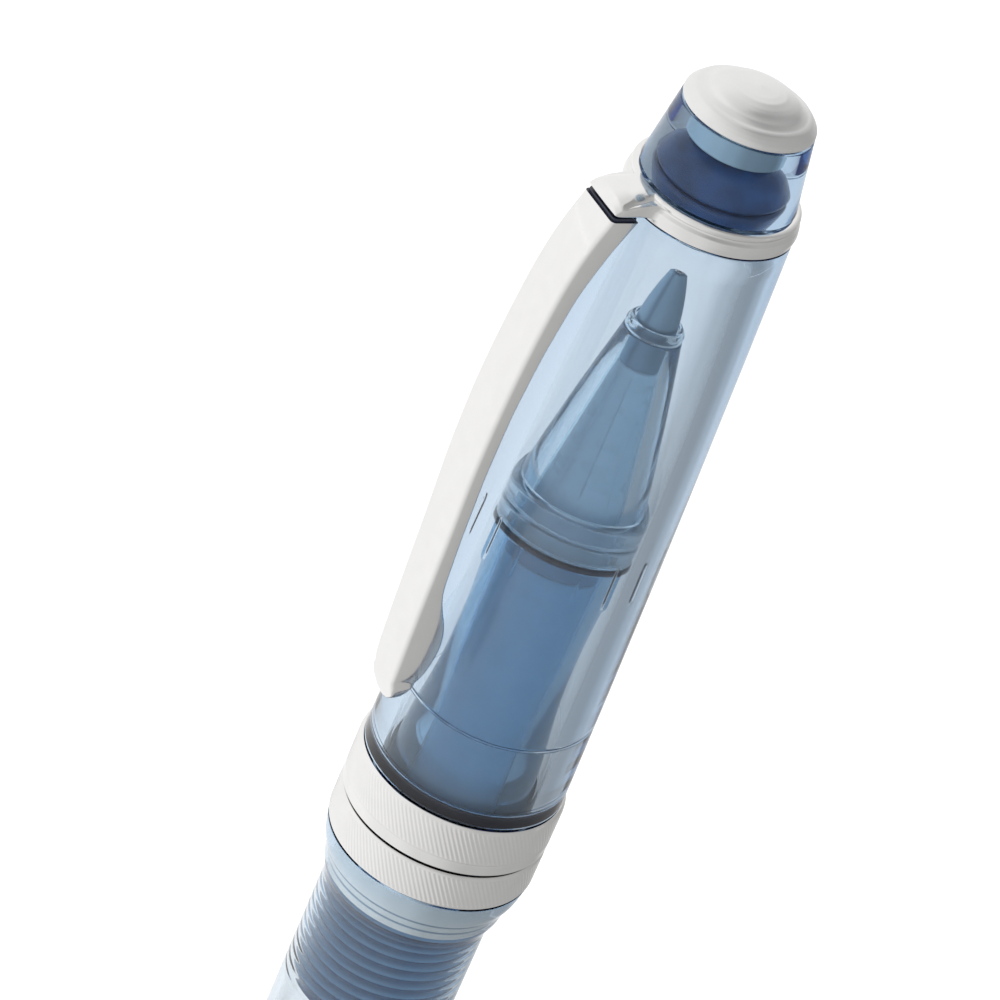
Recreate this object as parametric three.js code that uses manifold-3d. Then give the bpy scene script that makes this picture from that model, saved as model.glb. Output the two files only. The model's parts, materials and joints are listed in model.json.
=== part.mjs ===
// A capped gel pen with a clear resin body, standing cap up on the flat end of its barrel.
// Millimetres, +Z up, origin on the pen's axis in the flat face of the barrel plug.
import * as THREE from "three";
import { mergeVertices } from "three/addons/utils/BufferGeometryUtils.js";
import Module from "manifold-3d";

// Driving dimensions.
const SEAM_Z = 85; // where the cap meets the body
const BAND_R = 6.5; // both knurled bands
const BARREL_R = 5.25;
const BARREL_END_R = 4.45;
const CAP_MOUTH_R = 6.28; // resin just above the cap band
const CAP_TOP_R = 5.08; // resin just below the clip ring
const CAP_BULGE = 0.1; // how far the cap's side bows out at mid height
const REFILL_R = 2.8;
const TIP_R = 1.22;
const BALL_R = 0.35;
const CLIP_WIDTH = 3.3;
const TONGUE_WIDTH = 1.7; // of the clip arm's tongue, held in the ring
const ARM_TOP_FRONT = 7.36; // how far in front of the axis the clip arm's top end reaches
const THREAD_PITCH = 0.75;
const THREAD_RIDGES = 9;
const SLIP = 0.05; // between pieces that are pressed or glued together
const FACE_GAP = 0.1; // between pieces that meet end to end

// Heights above the seam.
const LIP_H = 1.0;
const BAND_H = 3.55;
const INSERT_TOP_H = 4.05;
const LINER_TOP_H = 8.9;
const GRIP_TOP_H = 21.5;
const NOSE_BASE_H = 24.75;
const NOSE_TIP_H = 35.9;
const BALL_H = 39.9;
const BORE_END_H = 43.5;
const CAP_TOP_H = 44.1;
const CLIP_SEAM_H = 44.5; // underside of the shoulder that the clip arm hangs from
const RING_TOP_H = 45.65;
const FINIAL_SPLIT_H = 48.15; // the finial's dark base is below this, its pale stem above
const COLLAR_TOP_H = 50.35;
const DOME_TOP_H = 52.25;

// Round pieces are polygons with this many sides.
const SIDES = 24;
const INNER_SIDES = 16;
const TINY_SIDES = 12;

const wasm = await Module();
wasm.setup();

const pen = new THREE.Group();

// Materials.
const material = (color, roughness, metalness, opacity = 1) =>
  new THREE.MeshStandardMaterial({ color, roughness, metalness, opacity, transparent: opacity < 1 });
const clearResin = material(0xb9d3e6, 0.05, 0, 0.35);
const blueResin = material(0x6f9ac0, 0.08, 0, 0.5);
const darkResin = material(0x27406e, 0.12, 0, 0.8);
const blackPlastic = material(0x0f1116, 0.35, 0);
const plating = material(0xd9d8d4, 0.12, 1);
const satinMetal = material(0xc9c8c4, 0.38, 1);
const steel = material(0xb8b9ba, 0.25, 1);
const carbide = material(0x8a8c90, 0.15, 1);
const paleBluePlastic = material(0x9fc0da, 0.3, 0);
const ink = material(0x12245e, 0.3, 0);
const grease = material(0xe3dcae, 0.3, 0, 0.6);

// Adds a named piece to the pen.
function addPiece(name, geometry, finish) {
  const mesh = new THREE.Mesh(geometry, finish);
  mesh.name = name;
  pen.add(mesh);
  return mesh;
}

// A round piece: outline is [radius, height] points going up the outside and down the inside.
// An outline that doesn't end on the axis is closed on itself, as a ring.
function turnedGeometry(outline, sides) {
  const points = outline.map(([radius, height]) => new THREE.Vector2(radius, height));
  const last = points[points.length - 1];
  if (last.x > 0) points.push(points[0].clone());
  return new THREE.LatheGeometry(points, sides).rotateX(Math.PI / 2);
}

function addTurned(name, outline, finish, sides = SIDES) {
  return addPiece(name, turnedGeometry(outline, sides), finish);
}

// The same, with its heights counted from the seam.
function addTurnedAtSeam(name, outline, finish, sides = SIDES) {
  const raised = outline.map(([radius, height]) => [radius, SEAM_Z + height]);
  return addTurned(name, raised, finish, sides);
}

// Conversion to and from manifold-3d, for the pieces that need a boolean.
function solidOf(geometry) {
  const bare = geometry.clone();
  bare.deleteAttribute("normal");
  bare.deleteAttribute("uv");
  const merged = mergeVertices(bare, 1e-3);
  return new wasm.Manifold(
    new wasm.Mesh({
      numProp: 3,
      vertProperties: merged.attributes.position.array,
      triVerts: new Uint32Array(merged.index.array),
    }),
  );
}

function geometryOf(solid) {
  const mesh = solid.getMesh();
  return new THREE.BufferGeometry()
    .setAttribute("position", new THREE.BufferAttribute(mesh.vertProperties, 3))
    .setIndex(new THREE.BufferAttribute(mesh.triVerts, 1));
}

// Radius of the cap's outside at a height above the seam.
function capRadius(height) {
  const t = (height - BAND_H) / (CAP_TOP_H - BAND_H);
  return CAP_MOUTH_R + (CAP_TOP_R - CAP_MOUTH_R) * t + 4 * CAP_BULGE * t * (1 - t);
}

// Barrel, its end plug and the refill's spring.
function makeBarrel() {
  const plugTop = 10;
  const shellFoot = 6;
  const socketFoot = SEAM_Z - 22; // of the wide bore that the section and its thread go into
  const socketR = 4.75;
  const mouth = SEAM_Z - 2.65;
  const endR = 3.7; // flat end of the plug, and the spigot that the shell fits on
  const endBoreR = endR + 2 * SLIP;
  addTurned(
    "barrel_plug",
    [
      [0, 0],
      [endR, 0],
      [4.1, 0.35],
      [BARREL_END_R, shellFoot - FACE_GAP],
      [endR, shellFoot - FACE_GAP],
      [endR, plugTop],
      [0, plugTop],
    ],
    satinMetal,
  );
  addTurned(
    "barrel_shell",
    [
      [BARREL_END_R, shellFoot],
      [4.95, 30],
      [BARREL_R, 60],
      [BARREL_R, SEAM_Z - 6.7],
      [5.72, SEAM_Z - 5.6],
      [5.82, SEAM_Z - 4.7],
      [6.22, SEAM_Z - 3.85],
      [6.43, mouth],
      [socketR + 0.2, mouth],
      [socketR, mouth - 0.35],
      [socketR, socketFoot],
      [4.15, socketFoot - 1],
      [4.0, plugTop + 1],
      [endBoreR, plugTop],
      [endBoreR, shellFoot],
    ],
    clearResin,
  );
}

// A coil: its wire follows this curve up the pen's axis.
class Helix extends THREE.Curve {
  constructor(radius, turns, foot, height) {
    super();
    Object.assign(this, { radius, turns, foot, height });
  }
  getPoint(t, target = new THREE.Vector3()) {
    const angle = 2 * Math.PI * this.turns * t;
    return target.set(
      this.radius * Math.cos(angle),
      this.radius * Math.sin(angle),
      this.foot + this.height * t,
    );
  }
}

function makeSpring() {
  const wireR = 0.2;
  const turns = 5;
  const stepsPerTurn = 12;
  const wireSides = 6;
  const coilR = 2.3;
  const foot = 10.05;
  const top = 15.8;
  const path = new Helix(coilR, turns, foot + wireR, top - foot - 2 * wireR);
  const section = new THREE.Shape(
    Array.from({ length: wireSides }, (_, i) => {
      const angle = (2 * Math.PI * i) / wireSides;
      return new THREE.Vector2(wireR * Math.cos(angle), wireR * Math.sin(angle));
    }),
  );
  const wire = new THREE.ExtrudeGeometry(section, {
    extrudePath: path,
    steps: turns * stepsPerTurn,
    bevelEnabled: false,
  });
  addPiece("refill_spring", wire, steel);
}

// Refill: tube with ink and follower, rear plug, tip holder, tip and ball.
function makeRefill() {
  const foot = 15.9;
  const tubeFoot = foot + 1.2;
  const tubeTop = SEAM_Z + 20;
  const boreR = 2.3;
  const fillR = boreR - SLIP;
  const spigot = 3;
  const holderTop = SEAM_Z + 33.75;
  const tipSocket = SEAM_Z + 31.5;
  const socketR = 0.9;
  const inkwayR = 0.5;
  addTurned(
    "refill_rear_plug",
    [
      [0, foot],
      [1.9, foot],
      [2.6, foot + 0.3],
      [REFILL_R, tubeFoot - FACE_GAP],
      [fillR, tubeFoot - FACE_GAP],
      [fillR, tubeFoot + spigot],
      [0, tubeFoot + spigot],
    ],
    paleBluePlastic,
    INNER_SIDES,
  );
  addTurned(
    "refill_tube",
    [
      [REFILL_R, tubeFoot],
      [REFILL_R, tubeTop],
      [boreR, tubeTop],
      [boreR, tubeFoot],
    ],
    paleBluePlastic,
    INNER_SIDES,
  );
  const followerFoot = 30;
  const inkFoot = 34;
  const inkTop = tubeTop - spigot - FACE_GAP;
  const fill = (low, high) => [
    [0, low],
    [fillR, low],
    [fillR, high],
    [0, high],
  ];
  addTurned("refill_follower", fill(followerFoot, inkFoot - FACE_GAP), grease, INNER_SIDES);
  addTurned("refill_ink", fill(inkFoot, inkTop), ink, INNER_SIDES);
  addTurned(
    "refill_tip_holder",
    [
      [fillR, tubeTop - spigot],
      [fillR, tubeTop + FACE_GAP],
      [REFILL_R, tubeTop + FACE_GAP],
      [REFILL_R, tubeTop + 1.8],
      [2.4, SEAM_Z + 25],
      [TIP_R, holderTop],
      [socketR, holderTop],
      [socketR, tipSocket],
      [inkwayR, tipSocket],
      [inkwayR, tubeTop - spigot],
    ],
    paleBluePlastic,
    INNER_SIDES,
  );
  makeTip(tipSocket, holderTop);
}

// Tip: a bullet with an ink channel, and the ball held behind its rolled lip.
function makeTip(socket, holderTop) {
  const ballZ = SEAM_Z + BALL_H;
  const seatR = BALL_R + 0.04;
  const lipR = 0.32;
  const channelR = 0.14;
  const shankR = 0.82;
  addTurned(
    "refill_tip",
    [
      [shankR, socket + FACE_GAP],
      [shankR, holderTop + FACE_GAP],
      [TIP_R, holderTop + FACE_GAP],
      [TIP_R, ballZ - 3.3],
      [1.08, ballZ - 2.2],
      [0.76, ballZ - 0.8],
      [0.48, ballZ + 0.1],
      [lipR + 0.04, ballZ + 0.2],
      [lipR, ballZ + 0.2],
      [seatR, ballZ + 0.08],
      [seatR, ballZ - 0.3],
      [channelR, ballZ - 0.45],
      [channelR, socket + FACE_GAP],
    ],
    steel,
    TINY_SIDES,
  );
  const ball = new THREE.SphereGeometry(BALL_R, TINY_SIDES, 8);
  ball.rotateX(Math.PI / 2);
  addPiece("refill_ball", ball, carbide).position.z = ballZ;
}

// Section: the part held when writing, with its threaded sleeve, band, rings and nose.
function makeSection() {
  const tenonFoot = -14.8;
  const boreR = REFILL_R + 0.15;
  const tenonR = 3.5;
  const neckR = 4.45;
  const neckFoot = -2.6;
  const bandFoot = neckFoot + FACE_GAP;
  addTurnedAtSeam(
    "section_body",
    [
      [tenonR, tenonFoot],
      [tenonR, neckFoot],
      [neckR, neckFoot],
      [neckR, 2.4],
      [neckR + 0.15, 2.8],
      [neckR, 3.2],
      [4.35, 6],
      [3.75, 10.5],
      [3.65, 14],
      [3.8, 18],
      [4.05, GRIP_TOP_H],
      [boreR, GRIP_TOP_H],
      [boreR, tenonFoot],
    ],
    blueResin,
  );
  makeThreadSleeve(tenonFoot, tenonR + SLIP);
  addTurnedAtSeam(
    "section_band",
    [
      [BAND_R - 0.08, bandFoot],
      [BAND_R, -2.35],
      [BAND_R, -0.15],
      [BAND_R - 0.15, 0],
      [neckR + SLIP, 0],
      [neckR + SLIP, bandFoot],
    ],
    plating,
  );
}

// Ridges stand for the male thread, clear of the barrel's bore so that the section can turn.
function makeThreadSleeve(foot, boreR) {
  const rootR = 4.25;
  const crestR = 4.62;
  const smoothFoot = -6.4;
  const top = -2.75;
  const outline = [[rootR - 0.3, foot]];
  for (let ridge = THREAD_RIDGES; ridge > 0; ridge--) {
    const root = smoothFoot - ridge * THREAD_PITCH;
    outline.push([rootR, root], [crestR, root + THREAD_PITCH / 2]);
  }
  outline.push([rootR, smoothFoot], [crestR, smoothFoot + 0.2], [crestR, top]);
  outline.push([boreR, top], [boreR, foot]);
  addTurnedAtSeam("thread_sleeve", outline, darkResin);
}

// Rings at the front of the grip and the nose that the tip comes out of.
function makeNose() {
  const spigotR = 3.35;
  const ringR = 4.17;
  const tipBoreR = TIP_R + 0.1;
  const noseTopR = 1.73;
  const ringTop = NOSE_TIP_H + 0.7;
  const ring = (low, high, outer = ringR) => [
    [outer, low],
    [outer, high],
    [spigotR + SLIP, high],
    [spigotR + SLIP, low],
  ];
  addTurnedAtSeam("cap_seal", ring(21.6, 21.9, ringR + 0.05), blackPlastic);
  addTurnedAtSeam("grip_collar", ring(22, 23.25), blueResin);
  addTurnedAtSeam("grip_ring", ring(23.35, NOSE_BASE_H - FACE_GAP), darkResin);
  addTurnedAtSeam(
    "nose_cone",
    [
      [spigotR, 21.6],
      [spigotR, NOSE_BASE_H],
      [3.8, NOSE_BASE_H],
      [2.65, 31.2],
      [noseTopR, NOSE_TIP_H],
      [tipBoreR, NOSE_TIP_H],
      [tipBoreR, 33.9],
      [2.6, NOSE_BASE_H],
      [REFILL_R + 0.1, 21.6],
    ],
    blueResin,
  );
  addTurnedAtSeam(
    "nose_ring",
    [
      [noseTopR, NOSE_TIP_H + SLIP],
      [noseTopR, NOSE_TIP_H + 0.4],
      [1.5, ringTop],
      [tipBoreR, ringTop],
      [tipBoreR, NOSE_TIP_H + SLIP],
    ],
    blueResin,
    INNER_SIDES,
  );
}

// Cap: resin shell, inner sleeve, black snap insert and knurled band.
function makeCap() {
  const rebateR = 5.85;
  const insertR = 5.15;
  const linerR = 4.95;
  const linerBoreR = 4.62;
  const insertBoreR = 4.75;
  const insertFoot = 1.2;
  const topBoreR = 1.2; // where the finial's stud comes through
  const sideSteps = 5;
  const side = [];
  for (let i = 0; i <= sideSteps; i++) {
    const height = BAND_H + ((CAP_TOP_H - BAND_H) * i) / sideSteps;
    side.push([capRadius(height), height]);
  }
  side[0][1] += FACE_GAP;
  addTurnedAtSeam(
    "cap_shell",
    [
      [rebateR, insertFoot],
      [rebateR, BAND_H + FACE_GAP],
      ...side,
      [topBoreR, CAP_TOP_H],
      [topBoreR, BORE_END_H],
      [2.9, BORE_END_H],
      [3.4, BORE_END_H - 1.1],
      [4.1, 30],
      [4.35, 22],
      [4.5, LINER_TOP_H + SLIP],
      [linerR, LINER_TOP_H + SLIP],
      [linerR, INSERT_TOP_H + SLIP],
      [insertR + 0.1, INSERT_TOP_H + SLIP],
      [insertR + 0.1, insertFoot],
    ],
    clearResin,
  );
  addTurnedAtSeam(
    "cap_liner",
    [
      [linerR - SLIP, INSERT_TOP_H + 2 * SLIP],
      [linerR - SLIP, LINER_TOP_H],
      [linerBoreR, LINER_TOP_H],
      [linerBoreR, INSERT_TOP_H + 2 * SLIP],
    ],
    clearResin,
  );
  addTurnedAtSeam(
    "cap_insert",
    [
      [insertR, insertFoot],
      [insertR, INSERT_TOP_H],
      [insertBoreR, INSERT_TOP_H],
      [insertBoreR, insertFoot],
    ],
    blackPlastic,
  );
  addTurnedAtSeam(
    "cap_band",
    [
      [BAND_R - 0.15, 0.15],
      [BAND_R, 0.3],
      [BAND_R, LIP_H - 0.06],
      [BAND_R - 0.06, LIP_H],
      [BAND_R, LIP_H + 0.06],
      [BAND_R, BAND_H - 0.3],
      [BAND_R - 0.15, BAND_H],
      [rebateR + SLIP, BAND_H],
      [rebateR + SLIP, insertFoot - FACE_GAP],
      [insertBoreR + SLIP, insertFoot - FACE_GAP],
      [insertBoreR + SLIP, 0.15],
    ],
    plating,
  );
}

// Finial: dark resin base and metal stem, closely held by a clear collar, under a satin dome.
function makeFinial() {
  const ringBoreR = 1.2;
  const collarFoot = RING_TOP_H + FACE_GAP;
  const baseR = 2.85;
  const baseEdge = 0.5; // bevel round the top of the base
  const stemR = 2.05;
  const rimR = 3.88; // the dome's foot
  addTurnedAtSeam(
    "finial_base",
    [
      [0, BORE_END_H + 0.2],
      [ringBoreR - 0.1, BORE_END_H + 0.2],
      [ringBoreR - 0.1, collarFoot],
      [baseR, collarFoot],
      [baseR, FINIAL_SPLIT_H - SLIP - baseEdge],
      [baseR - baseEdge, FINIAL_SPLIT_H - SLIP],
      [0, FINIAL_SPLIT_H - SLIP],
    ],
    darkResin,
    INNER_SIDES,
  );
  addTurnedAtSeam(
    "finial_stem",
    [
      [0, FINIAL_SPLIT_H + SLIP],
      [stemR, FINIAL_SPLIT_H + SLIP],
      [stemR, COLLAR_TOP_H],
      [0, COLLAR_TOP_H],
    ],
    satinMetal,
    INNER_SIDES,
  );
  addTurnedAtSeam(
    "finial_collar",
    [
      [4.62, collarFoot],
      [3.9, COLLAR_TOP_H],
      [stemR + 2 * SLIP, COLLAR_TOP_H],
      [stemR + 2 * SLIP, FINIAL_SPLIT_H + SLIP],
      [baseR - baseEdge + 2 * SLIP, FINIAL_SPLIT_H + SLIP],
      [baseR + 2 * SLIP, FINIAL_SPLIT_H - baseEdge],
      [baseR + 2 * SLIP, collarFoot],
    ],
    clearResin,
  );
  addTurnedAtSeam(
    "finial_dome",
    [
      [0, COLLAR_TOP_H + SLIP],
      [rimR, COLLAR_TOP_H + SLIP],
      [rimR, COLLAR_TOP_H + 0.35],
      [3.45, COLLAR_TOP_H + 0.85],
      [2.75, COLLAR_TOP_H + 1.2],
      [2.6, COLLAR_TOP_H + 1.35],
      [1.6, COLLAR_TOP_H + 1.75],
      [0, DOME_TOP_H],
    ],
    satinMetal,
  );
}

// A flat outline drawn as [distance in front of the axis, height above the seam],
// given thickness across the pen and centred on the clip.
function clipSlab(outline, thickness) {
  const shape = new THREE.Shape(outline.map(([front, height]) => new THREE.Vector2(front, height)));
  const slab = new THREE.ExtrudeGeometry(shape, { depth: thickness, bevelEnabled: false });
  slab.translate(0, 0, -thickness / 2);
  return slab.rotateX(Math.PI / 2).rotateZ(-Math.PI / 2).translate(0, 0, SEAM_Z);
}

// Ring round the top of the cap, joined to the shoulder that carries the clip arm.
function makeClipRing() {
  const boreR = 1.2;
  const shoulderTop = RING_TOP_H - 0.02;
  const shoulderBack = 4.2;
  const ring = turnedGeometry(
    [
      [5.08, CAP_TOP_H + SLIP],
      [5.16, CAP_TOP_H + 0.3],
      [5.08, CAP_TOP_H + 0.95],
      [4.75, RING_TOP_H],
      [boreR, RING_TOP_H],
      [boreR, CAP_TOP_H + SLIP],
    ].map(([radius, height]) => [radius, SEAM_Z + height]),
    SIDES,
  );
  const shoulder = clipSlab(
    [
      [shoulderBack, CLIP_SEAM_H],
      [ARM_TOP_FRONT, CLIP_SEAM_H],
      [7.3, 44.85],
      [6.9, 45.2],
      [6.2, 45.45],
      [5, shoulderTop],
      [shoulderBack, shoulderTop],
    ],
    CLIP_WIDTH,
  );
  const slot = clipSlab(tongueOutline(0.12, 0.3), TONGUE_WIDTH + 0.3);
  const joined = solidOf(ring).add(solidOf(shoulder)).subtract(solidOf(slot));
  addPiece("clip_ring", geometryOf(joined), plating);
}

// Tongue on the arm's top that the shoulder holds. Grown by margin it is the slot for it.
function tongueOutline(margin, drop) {
  const back = 5.6 - margin;
  const front = 6.3 + margin;
  const foot = CLIP_SEAM_H - 0.6 - drop;
  const top = CLIP_SEAM_H + 0.5 + margin;
  return [
    [back, foot],
    [front, foot],
    [front, top],
    [back, top],
  ];
}

// Arched arm, thick at the top and thin at mid height, with a rounded pad facing the cap.
function makeClipArm() {
  const topH = CLIP_SEAM_H - 0.38;
  const tipH = 9.3;
  const padH = 13.7;
  const padLow = capRadius(padH) + 0.2;
  const outer = [
    [8.6, tipH + 0.5],
    [8.82, 13.6],
    [9.0, 17.7],
    [9.15, 21.9],
    [9.4, 26.5],
    [9.4, 31],
    [9.17, 35],
    [8.75, 39.2],
    [8.2, 42],
    [ARM_TOP_FRONT, topH],
  ];
  const inner = [
    [5.6, topH],
    [6.55, 42],
    [7.45, 39.2],
    [8.1, 35],
    [8.45, 31],
    [8.45, 26.5],
    [8.2, 21.9],
    [7.85, 17.7],
    [7.35, 16.6],
    [6.6, 15.3],
    [padLow, padH],
    [6.5, 12],
    [7.1, 10.4],
    [8.0, tipH],
  ];
  const side = solidOf(clipSlab([...outer, ...inner], CLIP_WIDTH + 1));
  const tongue = solidOf(clipSlab(tongueOutline(0, 0), TONGUE_WIDTH));
  const face = solidOf(clipFace(topH, tipH));
  addPiece("clip_arm", geometryOf(side.intersect(face).add(tongue)), plating);
}

// The arm's outline as seen from the front, as deep as the arm needs.
function clipFace(topH, tipH) {
  const tipHalf = 1.3;
  const taperH = 31; // where the face begins to narrow
  const depth = 8;
  const back = 3; // in front of the axis
  const half = CLIP_WIDTH / 2;
  const shape = new THREE.Shape();
  shape.moveTo(-half, topH + 1);
  shape.lineTo(-half, taperH);
  shape.lineTo(-tipHalf, tipH + tipHalf);
  shape.absarc(0, tipH + tipHalf, tipHalf, Math.PI, 2 * Math.PI);
  shape.lineTo(half, taperH);
  shape.lineTo(half, topH + 1);
  const face = new THREE.ExtrudeGeometry(shape, { depth, bevelEnabled: false, curveSegments: 4 });
  return face.rotateX(Math.PI / 2).translate(0, -back, SEAM_Z);
}

makeBarrel();
makeSpring();
makeRefill();
makeSection();
makeNose();
makeCap();
makeFinial();
makeClipRing();
makeClipArm();

export default pen;
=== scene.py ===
"""A capped gel pen in clear pale blue resin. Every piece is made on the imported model's own outlines."""
import json
import math

import bpy
import numpy as np
from mathutils import Matrix, Vector


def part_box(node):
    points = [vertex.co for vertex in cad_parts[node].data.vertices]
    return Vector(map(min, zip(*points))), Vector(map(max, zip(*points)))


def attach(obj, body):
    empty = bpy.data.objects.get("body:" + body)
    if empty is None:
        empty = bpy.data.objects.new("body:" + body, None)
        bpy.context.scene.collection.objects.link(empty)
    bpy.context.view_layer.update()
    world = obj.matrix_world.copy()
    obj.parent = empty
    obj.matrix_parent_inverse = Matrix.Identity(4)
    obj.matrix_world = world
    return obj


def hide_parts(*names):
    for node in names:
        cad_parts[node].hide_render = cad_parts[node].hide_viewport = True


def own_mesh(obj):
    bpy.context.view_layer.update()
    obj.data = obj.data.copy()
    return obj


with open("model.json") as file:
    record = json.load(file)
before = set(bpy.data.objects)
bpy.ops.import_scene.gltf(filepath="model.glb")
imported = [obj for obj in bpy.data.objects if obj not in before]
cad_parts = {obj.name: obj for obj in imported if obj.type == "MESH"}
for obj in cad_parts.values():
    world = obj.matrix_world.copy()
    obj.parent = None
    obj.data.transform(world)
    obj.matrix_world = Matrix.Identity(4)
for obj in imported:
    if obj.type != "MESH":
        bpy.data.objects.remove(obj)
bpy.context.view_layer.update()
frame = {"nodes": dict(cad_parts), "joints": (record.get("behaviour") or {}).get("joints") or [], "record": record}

MM = 0.001
BODY_OF = {node: body for body, nodes in frame["record"]["behaviour"]["bodies"].items() for node in nodes}
JOINTS = {joint["name"]: joint for joint in frame["joints"]}
SEAM_Z = JOINTS["section_unscrew"]["pos_m"][2]
PITCH = 2 * math.pi / frame["record"]["behaviour"]["couplings"][0]["ratio"]  # rise in one turn

# Camera, as the picture was taken: a long lens, looking down on the cap with the pen leaning to the right.
CAMERA_SIDE = 48  # degrees round from the clip
CAMERA_DOWN = 32.3
CAMERA_ROLL = 23.7
CAMERA_AWAY = 303.3 * MM
CAMERA_AIM_Z = SEAM_Z + 21.2 * MM
FILM = 36 * MM  # width
LENS = 190.8 * MM  # focal length
AXIS_RIGHT = 2.61 * MM  # on the film, from its middle to where the pen's axis passes

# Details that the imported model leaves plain. Heights are from the seam between cap and barrel.
SLEEVE_OUTSIDE = 4.0 * MM  # points of the sleeve further out than this are on its outside
SLEEVE_THREAD_TOP = SEAM_Z - 6.4 * MM
SLEEVE_THREAD_ROOT = 4.42 * MM
SLEEVE_THREAD_DEPTH = 0.2 * MM
SLEEVE_GROOVES = (SEAM_Z - 5.5 * MM, SEAM_Z - 4.75 * MM)
SLEEVE_GROOVE_DEPTH = 0.07 * MM
SLEEVE_GROOVE_HALF = 0.16 * MM
SLEEVE_BRIGHT_FOOT = SEAM_Z - 6.0 * MM  # above this the sleeve is plated
BORE_THREAD_TOP = SEAM_Z - 6.3 * MM
BORE_THREAD_FOOT = SEAM_Z - 14.6 * MM
BORE_THREAD_DEPTH = 0.02 * MM
BORE_INSIDE = 4.85 * MM  # points of the barrel nearer than this, above the foot, are in its bore
BORE_FOOT = SEAM_Z - 15.2 * MM
SPRING_WIRE = 0.2 * MM  # radius
HOLDER_RIBS = 5
HOLDER_RIBS_FOOT = SEAM_Z + 25.6 * MM
HOLDER_RIBS_TOP = SEAM_Z + 32.9 * MM
HOLDER_RIB_DEPTH = 0.16 * MM
HOLDER_RIB_TURN = 1.05  # radians
HOLDER_OUTSIDE = 1.0 * MM
HOLDER_BAND = 1.5 * MM  # the darker band's height above the tube
KNURL_RIDGES = 136
KNURL_SLANT = math.radians(-29)  # from upright, leaning to the left as it climbs
KNURL_DEPTH = 0.042 * MM
CAP_KNURL_FOOT = SEAM_Z + 1.15 * MM  # below it the cap's band has a plain lip
GUIDE_RIBS = 15
GUIDE_RIB_TURN = math.radians(6)  # of the first rib, round from +X
GUIDE_RIB_HALF = 0.06 * MM
GUIDE_RIB_DEPTH = 0.04 * MM
GUIDE_RIBS_FOOT = SEAM_Z + 19.6 * MM
GUIDE_RIBS_TOP = SEAM_Z + 22.3 * MM
CAP_BORE = 4.6 * MM  # points of the cap's shell nearer than this, by the ribs, are in its bore
CAP_SEAT = (4.8 * MM, 5.5 * MM)  # radii of the walls round the insert and the liner
CAP_SEAT_DRAWN_IN = 0.14 * MM
BASE_DOME = 0.28  # how much of its radius the finial's base loses by its top
BASE_DOME_HEIGHT = 2.3 * MM
BASE_DOME_POWER = 1.3
BUTTON_GROOVE = (2.75 * MM, 3.0 * MM)  # radii
BUTTON_GROOVE_DEPTH = 0.09 * MM
BUTTON_GROOVE_SOFT = 0.45 * MM
BUTTON_SIDE = 0.4 * MM  # the button's plain side, below the groove's reach
ARM_PAD = (SEAM_Z + 10 * MM, SEAM_Z + 16 * MM)
ARM_TIP = 1.6 * MM  # the arm's end keeps its own outline up to here
ARM_FRONT_EDGE = 0.3 * MM
ARM_BACK_EDGE = 0.12 * MM
ARM_PAD_EDGE = 0.22 * MM  # the back edges are rounder beside the pad
ARM_FULL_REACH = 7 * MM  # in front of the axis: further up, the arm's front draws in
HINGE_INSET = 0.12 * MM
HINGE_HEIGHT = 0.2 * MM
SHOULDER_EDGE = 0.12 * MM  # height of the rounding under the shoulder
SHOULDER_EDGE_DEPTH = 0.1 * MM
SHOULDER_CROWN = 0.32 * MM  # how much lower its top is at the sides
SHOULDER_FILLETS = (0.7 * MM, 0.9 * MM)  # between its front and sides, and where it meets the ring
SHOULDER_WIDEST = 1.2  # radians from straight ahead
RING_BORE = 1.2 * MM


# ---------------------------------------------------------------- outlines

ON_AXIS = 1e-7  # metres
ON_PLANE = 1e-3  # radians off the half plane through +X


def outline(node):
    """The node's half section, as [radius, height] points going up its outside."""
    mesh = frame["nodes"][node].data
    here = {}
    for vertex in mesh.vertices:
        x, y, z = vertex.co
        radius = math.hypot(x, y)
        if radius < ON_AXIS or abs(math.atan2(y, x)) < ON_PLANE:
            here[vertex.index] = (round(radius, 7), round(z, 7))
    links = {}
    for edge in mesh.edges:
        a, b = (here.get(i) for i in edge.vertices)
        if a and b and a != b:
            links.setdefault(a, []).append(b)
            links.setdefault(b, []).append(a)
    ends = [p for p, near in links.items() if len(set(near)) == 1]
    start = min(ends or links, key=lambda p: (p[1], -p[0]))
    walk = [start]
    while True:
        onward = [p for p in links[walk[-1]] if p not in walk]
        if not onward:
            break
        walk.append(onward[0])
    points = np.array(walk)
    ahead = np.roll(points, -1, axis=0)
    area = np.sum(points[:, 0] * ahead[:, 1] - ahead[:, 0] * points[:, 1])
    return points if area > 0 else points[::-1]


EDGE = 0.08 * MM
GENTLE_TURN = 34  # degrees: a corner that turns less is drawn as one curve
STRAIGHT_TURN = 0.5
TURN_A_STEP = 12
CORNER_GUARD = 0.05 * MM  # from a rounded corner to the row that keeps the flat flat


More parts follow.
